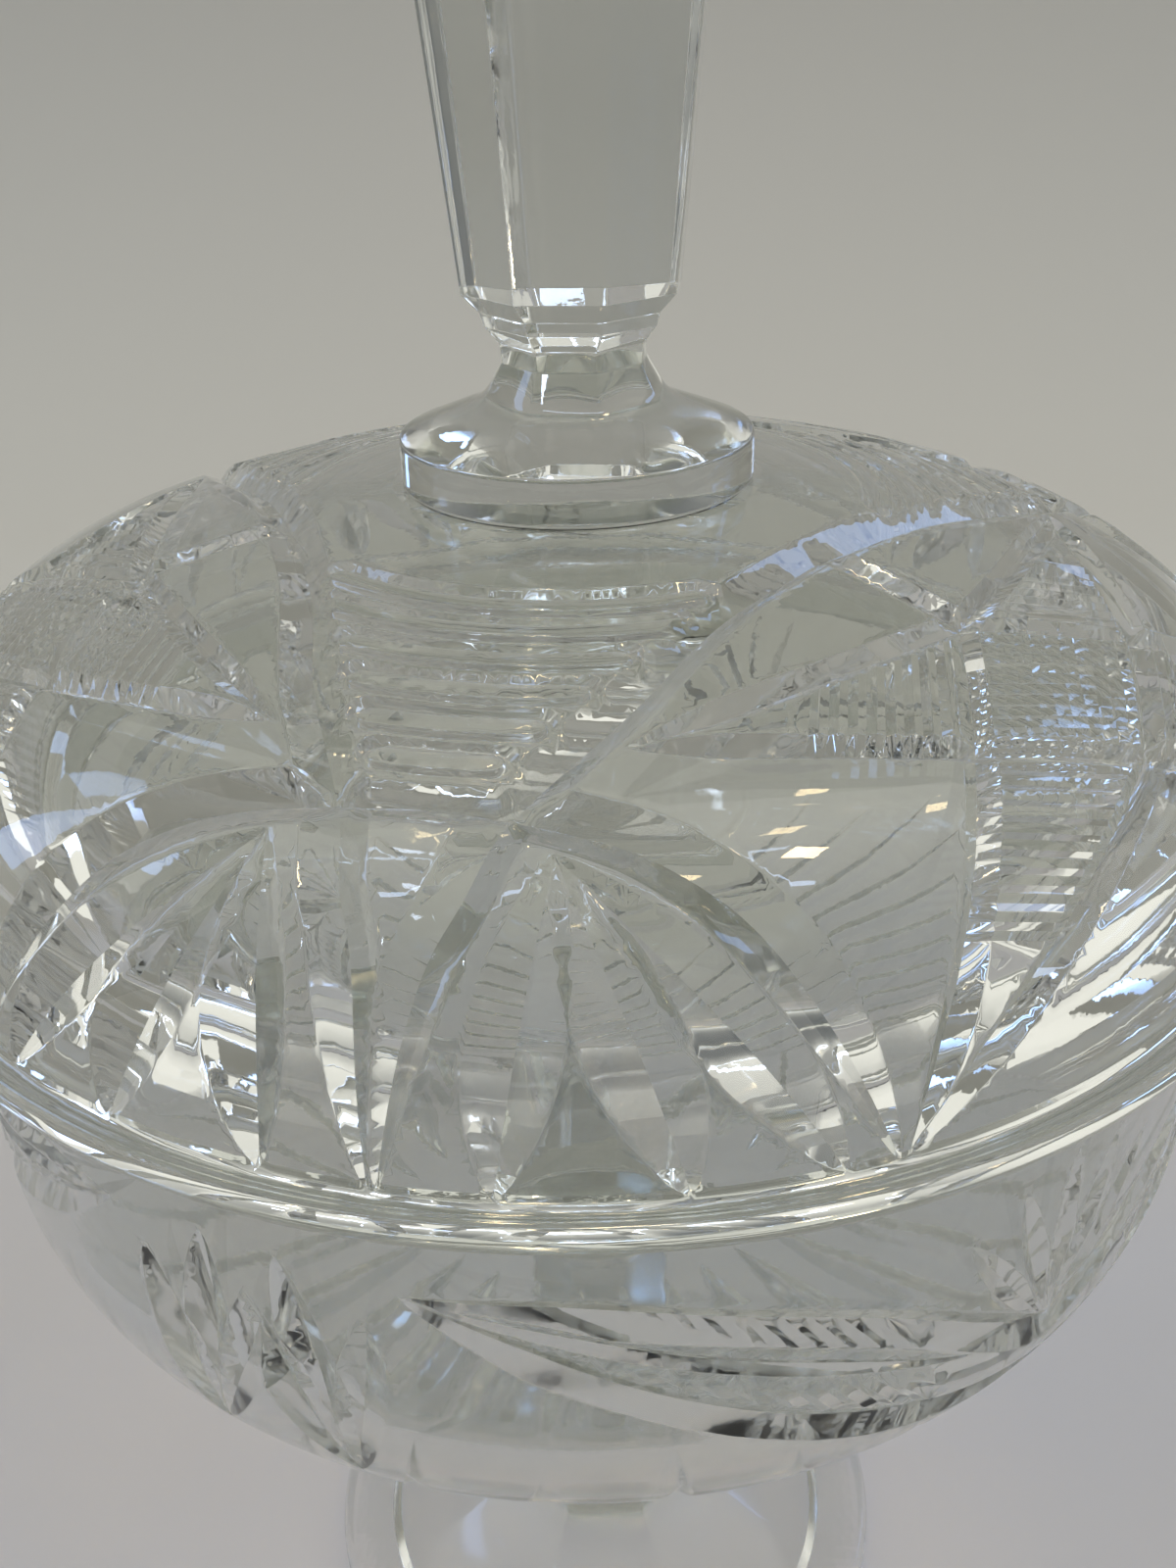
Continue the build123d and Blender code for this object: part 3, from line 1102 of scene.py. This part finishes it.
# ---- sub-assemblies ---------------------------------------------------------------------------------
@dataclass
class Cover:
    """The domed lid. Three broad arches and three stars are cut into it, turn and turn about."""

    flange_radius: float = 78.0
    flange_thickness: float = 3.0
    flange_rounding: float = 1.4
    dome_radius: float = 75.7
    dome_rise: float = 33.3
    shoulder: float = 25.5
    crown_wall: float = 5.2
    lip_depth: float = 5.0
    lip_outer: float = 67.7
    lip_wall: float = 3.0
    lip_rounding: float = 0.9
    inner_shoulder: float = 14.0
    inner_wall: float = 9.0
    pad_radius: float = 20.0
    outer_step: float = 0.4
    inner_step: float = 2.2
    pattern_turn: float = -12.7
    rim_inset: float = 1.0  # how far the cuts stop short of the flange
    half_bar: float = 1.15
    point_reach: float = 0.52  # share of a star's point that is fluted, from its wide end

    def face(self, seat: float) -> CutFace:
        """The dome's outer face, for a lid that rests at that height."""
        top = seat + self.flange_thickness
        dome = VesselArc(self.dome_radius, top, top + self.dome_rise, self.shoulder)
        return CutFace(dome.points(self.pad_radius, self.outer_step), cone=0.85, cone_offset=22.0)

    def spot(self, face: CutFace, azimuth: float, share: float) -> Points:
        """Place on the drawing plane at an azimuth and a share of the flange's radius."""
        return face.plane(azimuth, face.along_at_radius(share * self.flange_radius))

    def on_rim(self, face: CutFace, azimuth: float) -> Points:
        """Place on the drawing plane where the cuts end above the flange."""
        return face.plane(azimuth, face.length - self.rim_inset)

    def cuts(self, face: CutFace) -> list[Cut]:
        """The strokes of one wedge, from an arch's middle at 0 to a star's middle at 60 degrees."""
        low, middle, high = ((2.1, 0.903), (4.4, 0.834), (7.0, 0.749)), ((17.1, 0.603), (33.7, 0.458)), 0.402
        lobe_places = (*low, *middle, (58.5, high), (61.5, high))
        half_arch = ((0.0, 0.737), (12.8, 0.768), (19.3, 0.815), (24.5, 0.886))
        arch_places = ((-19.3, 0.815), (-12.8, 0.768), *half_arch)
        lobe = np.array([self.on_rim(face, 0.3)] + [self.spot(face, a, r) for a, r in lobe_places])
        arch = np.array([self.spot(face, a, r) for a, r in arch_places] + [self.on_rim(face, 30.3)])
        rungs = [(0.422, 31), (0.474, 26), (0.527, 17), (0.582, 12), (0.637, 8.0), (0.690, 4.8)]
        bars = [(face.along_at_radius(share * self.flange_radius), end) for share, end in rungs]
        return [
            Stroke(lobe, 5.0, 1.9, Taper.FROM_POINT),
            Stroke(arch, 5.8, 2.0, Taper.TO_POINT),
            *self._fan(face),
            *self._star(face),
            BarLadder(face, bars, self.half_bar),
        ]

    def _fan(self, face: CutFace) -> list[Stroke]:
        """Three leaf-shaped cuts that spread from under the arch to the rim."""
        root = self.spot(face, 10.5, 0.80)
        leaves = ((7.0, 7.0, 2.2), (18.0, 7.8, 2.3), (27.0, 6.8, 2.1))  # azimuth, width, depth
        return [Stroke([root, self.on_rim(face, a)], w, d, Taper.LEAF, step=0.8) for a, w, d in leaves]

    def _star(self, face: CutFace) -> list[Cut]:
        """Left half of a star: a cross-cut square with long points, fluted across their wide ends."""
        top, bottom = self.spot(face, 60, 0.605), self.spot(face, 60, 0.849)
        left, right = self.spot(face, 45.5, 0.761), self.spot(face, 74.5, 0.761)
        made: list[Cut] = []
        for tip, far in ((self.spot(face, 16.4, 0.672), top), (self.on_rim(face, 31.0), bottom)):
            base = (left + far) / 2
            start, end = base + 0.04 * (tip - base), base + self.point_reach * (tip - base)
            wide, narrow = 0.96, 1 - self.point_reach
            edges = [(start + (c - base) * wide, end + (c - base) * narrow) for c in (left, far)]
            field = [edges[0][0], edges[0][1], edges[1][1], edges[1][0]]
            made.append(FluteField(field, [square_to(far - left)], 1.45, 0.36))
            made += [Stroke([corner, tip], 3.0, 1.3, Taper.TO_POINT) for corner in (left, far)]
        grid = [square_to(top - left), square_to(bottom - left)]
        made.append(FluteField([top, left, bottom, right], grid, 1.4, 0.2))
        for a, b in ((top, left), (left, bottom), (top, right), (right, bottom)):
            made.append(Stroke([a, b], 2.8, 1.2))
        made.append(Stroke([self.spot(face, 60, 0.402), top], 3.4, 1.3))
        return made

    def build(self, glass: bpy.types.Material) -> bpy.types.Object:
        """Makes the lid where the CAD lid is."""
        low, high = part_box("lid")
        seat = low.z / MM + self.lip_depth
        top = seat + self.flange_thickness
        lip_inner = self.lip_outer - self.lip_wall
        crown_inside = top + self.dome_rise - self.crown_wall
        inside = VesselArc(lip_inner, seat + self.inner_wall, crown_inside, self.inner_shoulder)
        face = self.face(seat)
        rim = rounded(
            [
                (self.dome_radius, top, 0),
                (self.flange_radius, top, self.flange_rounding),
                (self.flange_radius, seat, self.flange_rounding),
                (self.lip_outer, seat, 0),
                (self.lip_outer, seat - self.lip_depth, self.lip_rounding),
                (lip_inner, seat - self.lip_depth, self.lip_rounding),
                (lip_inner, seat + self.inner_wall, 0),
            ]
        )
        closing = rim[1:] + inside.points(0.0, self.inner_step)[::-1][1:]
        wedge = WedgeMesher(face, self.cuts(face)).mesh("lid_wedge", closing)
        LOG.info("lid top %.1f mm, CAD top %.1f mm", face.outline[0][1], high.z / MM)
        piece = ring_of_wedges(wedge, "cut_lid", self.pattern_turn, glass)
        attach(piece, BodyName.COVER.value)
        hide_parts("lid")
        return piece


@dataclass
class Bowl:
    """The bowl. Fluted leaves run round under its rim, between fans and bursts, over a scalloped base."""

    outer_radius: float = 72.8
    wall: float = 4.5
    depth: float = 60.2
    floor: float = 6.0
    shoulder: float = 26.0
    straight: float = 27.5
    cut_height: float = 24.5  # how much of the straight wall belongs to the cut face
    rim_rounding: float = 1.2
    pad_radius: float = 21.0
    outer_step: float = 0.4
    inner_step: float = 2.2
    pattern_turn: float = -24.5
    seat_gap: float = 0.05  # keeps the ground rim and the lid's seat from being one and the same face
    hollows: int = 7
    hollow_pitch: float = 10.0  # degrees

    def face(self, rim: float) -> CutFace:
        """The bowl's outer face, from the pedestal's pad to just under the rim."""
        spring = rim - self.straight
        outside = VesselArc(self.outer_radius, spring, rim - self.depth, self.shoulder)
        outline = outside.points(self.pad_radius, self.outer_step)
        outline += [(self.outer_radius, spring + h) for h in np.linspace(0.5, self.cut_height, 49)]
        return CutFace(outline, cone=0.25, cone_offset=187.0)

    def cuts(self, face: CutFace, rim: float) -> list[Cut]:
        """The strokes of one wedge, from a fan's middle at 0 to a burst's middle at 60 degrees."""

        def at(azimuth: float, drop: float) -> Points:
            """Place on the drawing plane at an azimuth and a drop below the rim."""
            return face.plane(azimuth, face.along_at_height(rim - drop))

        tip, node = at(11.7, 11.0), at(60.0, 30.5)
        upper = [tip, at(28.0, 13.0), at(44.0, 19.0), node]
        middle = [tip, at(24.0, 15.3), at(40.0, 21.8), at(52.0, 27.5)]
        lower = [tip, at(23.0, 19.4), at(38.0, 28.2), at(50.0, 34.2), at(60.0, 37.4)]
        band = [at(18.0, 13.9), at(49.0, 27.4), at(49.0, 32.2), at(34.0, 24.6), at(20.0, 16.0)]
        made: list[Cut] = [
            Stroke(upper, 4.4, 1.3, Taper.FROM_POINT),
            Stroke(middle, 2.0, 0.6, Taper.BOTH),
            Stroke(lower, 4.2, 1.1, Taper.FROM_POINT),
            FluteField(band, [at(34.0, 18.0) - at(30.0, 21.0)], 1.6, 0.5),
        ]
        fan_root, burst_root = at(6.0, 38.0), at(60.0, 29.5)
        for azimuth, drop, width in ((3.0, 9.5, 4.8), (9.0, 15.0, 4.6), (-3.0, 9.5, 4.8)):
            made.append(Stroke([fan_root, at(azimuth, drop)], width, 1.3, Taper.LEAF))
        for azimuth, drop in ((60.0, 8.0), (55.0, 9.5), (50.5, 13.0), (65.0, 9.5), (69.5, 13.0)):
            made.append(Stroke([burst_root, at(azimuth, drop)], 2.8, 0.9, Taper.LEAF))
        for azimuth, drop in ((47.0, 20.0), (73.0, 20.0)):
            made.append(Stroke([burst_root, at(azimuth, drop)], 2.4, 0.8, Taper.LEAF))
        base = face.along_at_radius(30.0)
        for n in range(self.hollows):
            azimuth = self.hollow_pitch * n
            path = [at(azimuth, 36.0 if n % 2 else 40.0), face.plane(azimuth, base)]
            made.append(Stroke(path, 6.8, 1.4, Taper.LEAF, step=1.0, hollow=True))
        return made

    def build(self, glass: bpy.types.Material) -> bpy.types.Object:
        """Makes the bowl where the CAD bowl is."""
        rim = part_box("bowl")[1].z / MM - self.seat_gap
        spring = rim - self.straight
        inner_radius = self.outer_radius - self.wall
        bottom = rim - self.depth + self.floor
        inside = VesselArc(inner_radius, spring, bottom, self.shoulder - self.wall)
        face = self.face(rim)
        edge = rounded(
            [
                (self.outer_radius, spring + self.cut_height, 0),
                (self.outer_radius, rim, self.rim_rounding),
                (inner_radius, rim, self.rim_rounding),
                (inner_radius, spring, 0),
            ]
        )
        closing = edge[1:] + inside.points(0.0, self.inner_step)[::-1][1:]
        wedge = WedgeMesher(face, self.cuts(face, rim), grid=0.95).mesh("bowl_wedge", closing)
        piece = ring_of_wedges(wedge, "cut_bowl", self.pattern_turn, glass)
        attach(piece, BodyName.JAR.value)
        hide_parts("bowl")
        return piece


@dataclass
class FacetedTurning:
    """A turned piece of glass whose middle is ground into flat facets, with fire-polished arrises."""

    name: str
    body: BodyName
    node: str
    slot: str
    turn: float = 0.0
    sides: int = 8
    arris: float = 0.8  # half angle of the rounded arris, degrees

    def section(self, base: float, top: float) -> list[tuple[float, float, float, float]]:
        """Radius, height, rounding, and 0 for facets to 1 for round, of each corner from the base up."""
        raise NotImplementedError

    def _spokes(self) -> Points:
        """Angles of the points of a ring from a facet's middle, in degrees."""
        half = 180 / self.sides
        shares = [-0.8, -0.6, -0.4, -0.2, 0.0, 0.2, 0.4, 0.6, 0.8]
        facet = [-half + self.arris] + [s * half for s in shares] + [half - self.arris]
        return np.array([offset + 2 * half * n for n in range(self.sides) for offset in facet])

    def build(self, glass: bpy.types.Material) -> bpy.types.Object:
        """Makes the piece as rings joined by quads, closed at both ends on the axis."""
        low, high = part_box(self.node)
        section = self.section(low.z / MM, high.z / MM)
        spokes = self._spokes()
        half = 180 / self.sides
        from_middle = np.radians((spokes + half) % (2 * half) - half)
        line = rounded([(r, z, rounding) for r, z, rounding, _ in section], steps=4)
        by_height = sorted(section, key=lambda corner: corner[1])
        heights, shares = [c[1] for c in by_height], [c[3] for c in by_height]
        roundness = np.interp([z for _, z in line], heights, shares)
        rings = []
        for (radius, height), share in zip(line[1:-1], roundness[1:-1]):
            flat = radius / np.cos(from_middle)
            rings.append(turned(flat * (1 - share) + radius * share, height, spokes + self.turn))
        count = len(spokes)
        ends = [np.array([[0.0, 0.0, line[i][1]]]) for i in (0, -1)]
        points = np.vstack([ends[0]] + rings + [ends[1]])
        faces: list[tuple] = []
        last = 1 + (len(rings) - 1) * count
        for i in range(count):
            j = (i + 1) % count
            faces.append((0, 1 + j, 1 + i))
            faces.append((last + i, last + j, len(points) - 1))
            for n in range(len(rings) - 1):
                a = 1 + n * count
                faces.append((a + i, a + j, a + count + j, a + count + i))
        mesh = bpy.data.meshes.new(self.name)
        mesh.from_pydata((points * MM).tolist(), [], faces, shade_flat=False)
        piece = finished(mesh, self.name, glass, weight=80)
        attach(piece, self.body.value)
        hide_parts(self.node)
        return piece


@dataclass
class Finial(FacetedTurning):
    """The finial: a disc, a waisted neck and a long eight-sided shaft under a low pointed cap."""

    name: str = "faceted_finial"
    body: BodyName = BodyName.COVER
    node: str = "finial"
    slot: str = "finial_glass"
    turn: float = -7.0
    disc_radius: float = 19.0
    disc_thickness: float = 4.9
    disc_rounding: float = 0.5
    neck_radius: float = 7.4
    shaft_top_radius: float = 14.7
    cap_rise: float = 8.0
    cap_radius: float = 3.2

    def section(self, base: float, top: float) -> list[tuple[float, float, float, float]]:
        """Radius, height, rounding, and 0 for facets to 1 for round, of each corner from the base up."""
        return [
            (0.0, base, 0.0, 1.0),
            (self.disc_radius, base, self.disc_rounding, 1.0),
            (self.disc_radius, base + self.disc_thickness, self.disc_rounding, 1.0),
            (10.0, base + 8.4, 5.0, 1.0),  # where the disc's slope meets the neck
            (self.neck_radius, base + 12.4, 0.5, 0.3),
            (self.neck_radius, base + 14.4, 0.3, 0.0),
            (8.8, base + 16.2, 0.25, 0.0),  # the collar
            (9.2, base + 17.6, 0.25, 0.0),
            (10.9, base + 19.5, 0.25, 0.0),  # the shaft's foot
            (self.shaft_top_radius, top - self.cap_rise, 0.3, 0.0),
            (self.cap_radius, top, 0.3, 0.0),
            (0.0, top, 0.0, 0.0),
        ]


@dataclass
class Pedestal(FacetedTurning):
    """The pedestal: a round foot, a hollow flare and an eight-sided stem under a round disc."""

    name: str = "faceted_pedestal"
    body: BodyName = BodyName.JAR
    node: str = "pedestal"
    slot: str = "pedestal_glass"
    foot_radius: float = 43.2
    foot_thickness: float = 4.2
    foot_rounding: float = 1.4
    recess_radius: float = 35.0
    recess_depth: float = 1.5
    flare_rise: float = 19.0
    stem_foot_radius: float = 11.8
    stem_neck_radius: float = 6.4
    disc_radius: float = 20.0
    disc_thickness: float = 4.8
    disc_rounding: float = 0.5

    def section(self, base: float, top: float) -> list[tuple[float, float, float, float]]:
        """Radius, height, rounding, and 0 for facets to 1 for round, of each corner from the base up."""
        run = self.foot_radius - self.stem_foot_radius
        flare = []
        for t in np.linspace(0.12, 1.4, 14):  # angle along the flare, a quarter turn from foot to stem
            radius = self.stem_foot_radius + run * (1 - math.sin(t))
            height = self.foot_thickness + self.flare_rise * (1 - math.cos(t))
            flare.append((radius, height, 0.0, 1.0 - t / 1.57 * 0.9))
        return [
            (0.0, self.recess_depth, 0.0, 1.0),
            (self.recess_radius - 1.5, self.recess_depth, 0.6, 1.0),
            (self.recess_radius, 0.0, 0.4, 1.0),
            (self.foot_radius, 0.0, self.foot_rounding, 1.0),
            (self.foot_radius, self.foot_thickness, self.foot_rounding, 1.0),
            *flare,
            (11.3, 24.0, 4.0, 0.0),  # the stem's foot
            (9.2, top - 17.1, 0.5, 0.0),  # its shoulder
            (self.stem_neck_radius, top - 12.6, 0.5, 0.0),
            (self.stem_neck_radius, top - 10.6, 0.8, 0.2),
            (9.6, top - 7.2, 1.5, 1.0),  # the flare under the disc
            (self.disc_radius, top - self.disc_thickness, self.disc_rounding, 1.0),
            (self.disc_radius, top, self.disc_rounding, 1.0),
            (0.0, top, 0.0, 1.0),
        ]


@dataclass
class BondFilm:
    """A film of adhesive between two glass faces, a hair clear of both so that no faces coincide."""

    node: str
    body: BodyName
    gap: float = 0.02

    def build(self, material: bpy.types.Material) -> bpy.types.Object:
        """Makes the film in its CAD node's place."""
        low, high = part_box(self.node)
        radius = (high.x - low.x) / 2
        work = bmesh.new()
        bmesh.ops.create_cone(
            work,
            cap_ends=True,
            segments=96,
            radius1=radius,
            radius2=radius,
            depth=high.z - low.z - 2 * (self.gap * MM),
            matrix=Matrix.Translation((0, 0, (low.z + high.z) / 2)),
        )
        mesh = bpy.data.meshes.new(self.node)
        work.to_mesh(mesh)
        work.free()
        piece = finished(mesh, f"{self.node}_film", material)
        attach(piece, self.body.value)
        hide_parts(self.node)
        return piece


# ---- studio -----------------------------------------------------------------------------------------
@dataclass
class Studio:
    """A pale cloth and wall, soft window light, warm lamps overhead, and the camera."""

    lens: float = 32.625  # mm, on a sensor 36 mm wide
    above_rim: float = 1.5  # half the flange's thickness, in mm
    tilt: float = 29.05
    roll: float = 1.49
    rise: float = 1.0176  # the camera's place, in radii of the lid's flange
    distance: float = 1.943
    aside: float = 0.003
    wall_behind: float = 0.75
    wall_height: float = 2.2
    wall_bend: float = 0.25
    cloth_front: float = -2.5
    half_width: float = 3.0
    room_strength: float = 1.1
    room_light: str = "fbf9f0"
    room_dark: str = "66696a"
    room_seen: str = "aeaea8"

    def build(self) -> None:
        """Makes the stage, the room, the lamps and the camera."""
        self._stage()
        self._room()
        self._lamps()
        self._camera()

    def _stage(self) -> None:
        """A floor that sweeps up into a wall."""
        cloth = MattFinish().material()
        flat_end, bend = self.wall_behind - self.wall_bend, self.wall_bend
        run = [(self.cloth_front, 0.0), (flat_end, 0.0)]
        for t in np.linspace(0.15, math.pi / 2, 12):
            run.append((flat_end + bend * math.sin(t), bend - bend * math.cos(t)))
        run.append((self.wall_behind, self.wall_height))
        points = [(x, y, z) for y, z in run for x in (-self.half_width, self.half_width)]
        faces = [(2 * i, 2 * i + 1, 2 * i + 3, 2 * i + 2) for i in range(len(run) - 1)]
        mesh = bpy.data.meshes.new("backdrop")
        mesh.from_pydata(points, [], faces, shade_flat=False)
        mesh.materials.append(cloth)
        backdrop = add_object("backdrop", mesh)
        backdrop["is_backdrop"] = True

    def _room(self) -> None:
        """The room's dim fill, darker in front of the jar, and one even grey where it is seen directly."""
        world = bpy.data.worlds.new("room")
        bpy.context.scene.world = world
        world.use_nodes = True
        tree = world.node_tree
        tree.nodes["Background"].inputs["Strength"].default_value = self.room_strength
        facing = add_node(tree, "ShaderNodeTexCoord", {}).outputs["Generated"]
        split = add_node(tree, "ShaderNodeSeparateXYZ", {}, (facing, "Vector"))
        back = add_node(
            tree,
            "ShaderNodeMapRange",
            {"From Min": -0.95, "From Max": 0.0, "interpolation_type": "SMOOTHSTEP"},
            (split.outputs["Y"], "Value"),
        )
        tone = add_node(
            tree,
            "ShaderNodeMix",
            {"data_type": "RGBA", COLOUR_A: linear(self.room_dark), COLOUR_B: linear(self.room_light)},
            (back.outputs["Result"], FACTOR),
        )
        seen = add_node(
            tree,
            "ShaderNodeMix",
            {"data_type": "RGBA", COLOUR_B: linear(self.room_seen)},
            (add_node(tree, "ShaderNodeLightPath", {}).outputs["Is Camera Ray"], FACTOR),
            (tone.outputs[MIXED], COLOUR_A),
        )
        tree.links.new(seen.outputs[MIXED], tree.nodes["Background"].inputs["Color"])

    def _lamps(self) -> None:
        """Window panes at the sides, a strip and warm lamps overhead, and a cool spark in front."""
        low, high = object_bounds()
        centre = Vector((0, 0, (low[2] + high[2]) / 2))
        lamps = [  # name, place, width and height in metres, watts, colour
            ("window_left", (-0.8, 0.12, 0.6), (0.12, 0.6), 0.8, "9cc0ff"),
            ("window_right_back", (0.8, 0.35, 0.6), (0.1, 0.4), 0.5, "98beff"),
            ("strip_overhead", (0.0, -0.35, 1.25), (1.1, 0.035), 1.2, "c4daff"),
            ("lamp_warm_left", (-0.12, 0.15, 1.2), (0.07, 0.07), 0.6, "ffe2b0"),
            ("lamp_warm_right", (0.4, -0.1, 1.1), (0.07, 0.07), 0.5, "ffe2b0"),
            ("lamp_cool_spark", (-0.45, -0.55, 0.9), (0.05, 0.05), 0.3, "d3e2ff"),
        ]
        for name, at, (wide, tall), watts, colour in lamps:
            data = bpy.data.lights.new(name, "AREA")
            data.shape = "RECTANGLE"
            data.size, data.size_y = wide, tall
            data.energy = watts
            data.color = linear(colour)[:3]
            lamp = add_object(name, data)
            lamp.location = at
            lamp.rotation_euler = (centre - Vector(at)).to_track_quat("-Z", "Y").to_euler()

    def _camera(self) -> None:
        """The camera, close above the lid's rim and rolled a little."""
        low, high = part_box("lid")
        radius = (high.x - low.x) / 2
        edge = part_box("bowl")[1].z + self.above_rim * MM
        data = bpy.data.cameras.new("camera")
        data.lens, data.sensor_width = self.lens, 36
        data.clip_start, data.clip_end = 0.01, 20
        camera = add_object("camera", data)
        tilt, roll = math.radians(self.tilt), math.radians(self.roll)
        forward = Vector((0, math.cos(tilt), -math.sin(tilt)))
        side = Vector((1, 0, 0))
        up = side.cross(forward)
        right = math.cos(roll) * side - math.sin(roll) * up
        above = math.sin(roll) * side + math.cos(roll) * up
        place = Vector((self.aside * radius, -self.distance * radius, edge + self.rise * radius))
        matrix = Matrix((right, above, -forward)).transposed().to_4x4()
        matrix.translation = place
        camera.matrix_world = matrix
        bpy.context.scene.camera = camera


def main() -> None:
    """Builds the jar and its studio round the frame."""
    logging.basicConfig(level=logging.INFO, format="%(message)s", stream=sys.stdout)
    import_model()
    scene = bpy.context.scene
    scene.view_settings.view_transform = "Standard"
    scene.cycles.max_bounces = GLASS_FACES
    scene.cycles.transmission_bounces = GLASS_FACES
    scene.cycles.glossy_bounces = MIRRORINGS
    glass = CrystalFinish("fire_polished_cut_crystal").material()
    pressed = CrystalFinish("pressed_and_cut_crystal", roughness=0.035, haze=0.07).material()
    hazed = CrystalFinish("pressed_crystal_with_mould_haze", roughness=0.11, haze=0.16).material()
    bond = BondFinish().material()
    Cover().build(glass)
    Bowl().build(pressed)
    Finial().build(glass)
    Pedestal().build(hazed)
    BondFilm("finial_bond", BodyName.COVER).build(bond)
    BondFilm("pedestal_bond", BodyName.JAR).build(bond)
    Studio().build()


if __name__ == "__main__":
    main()
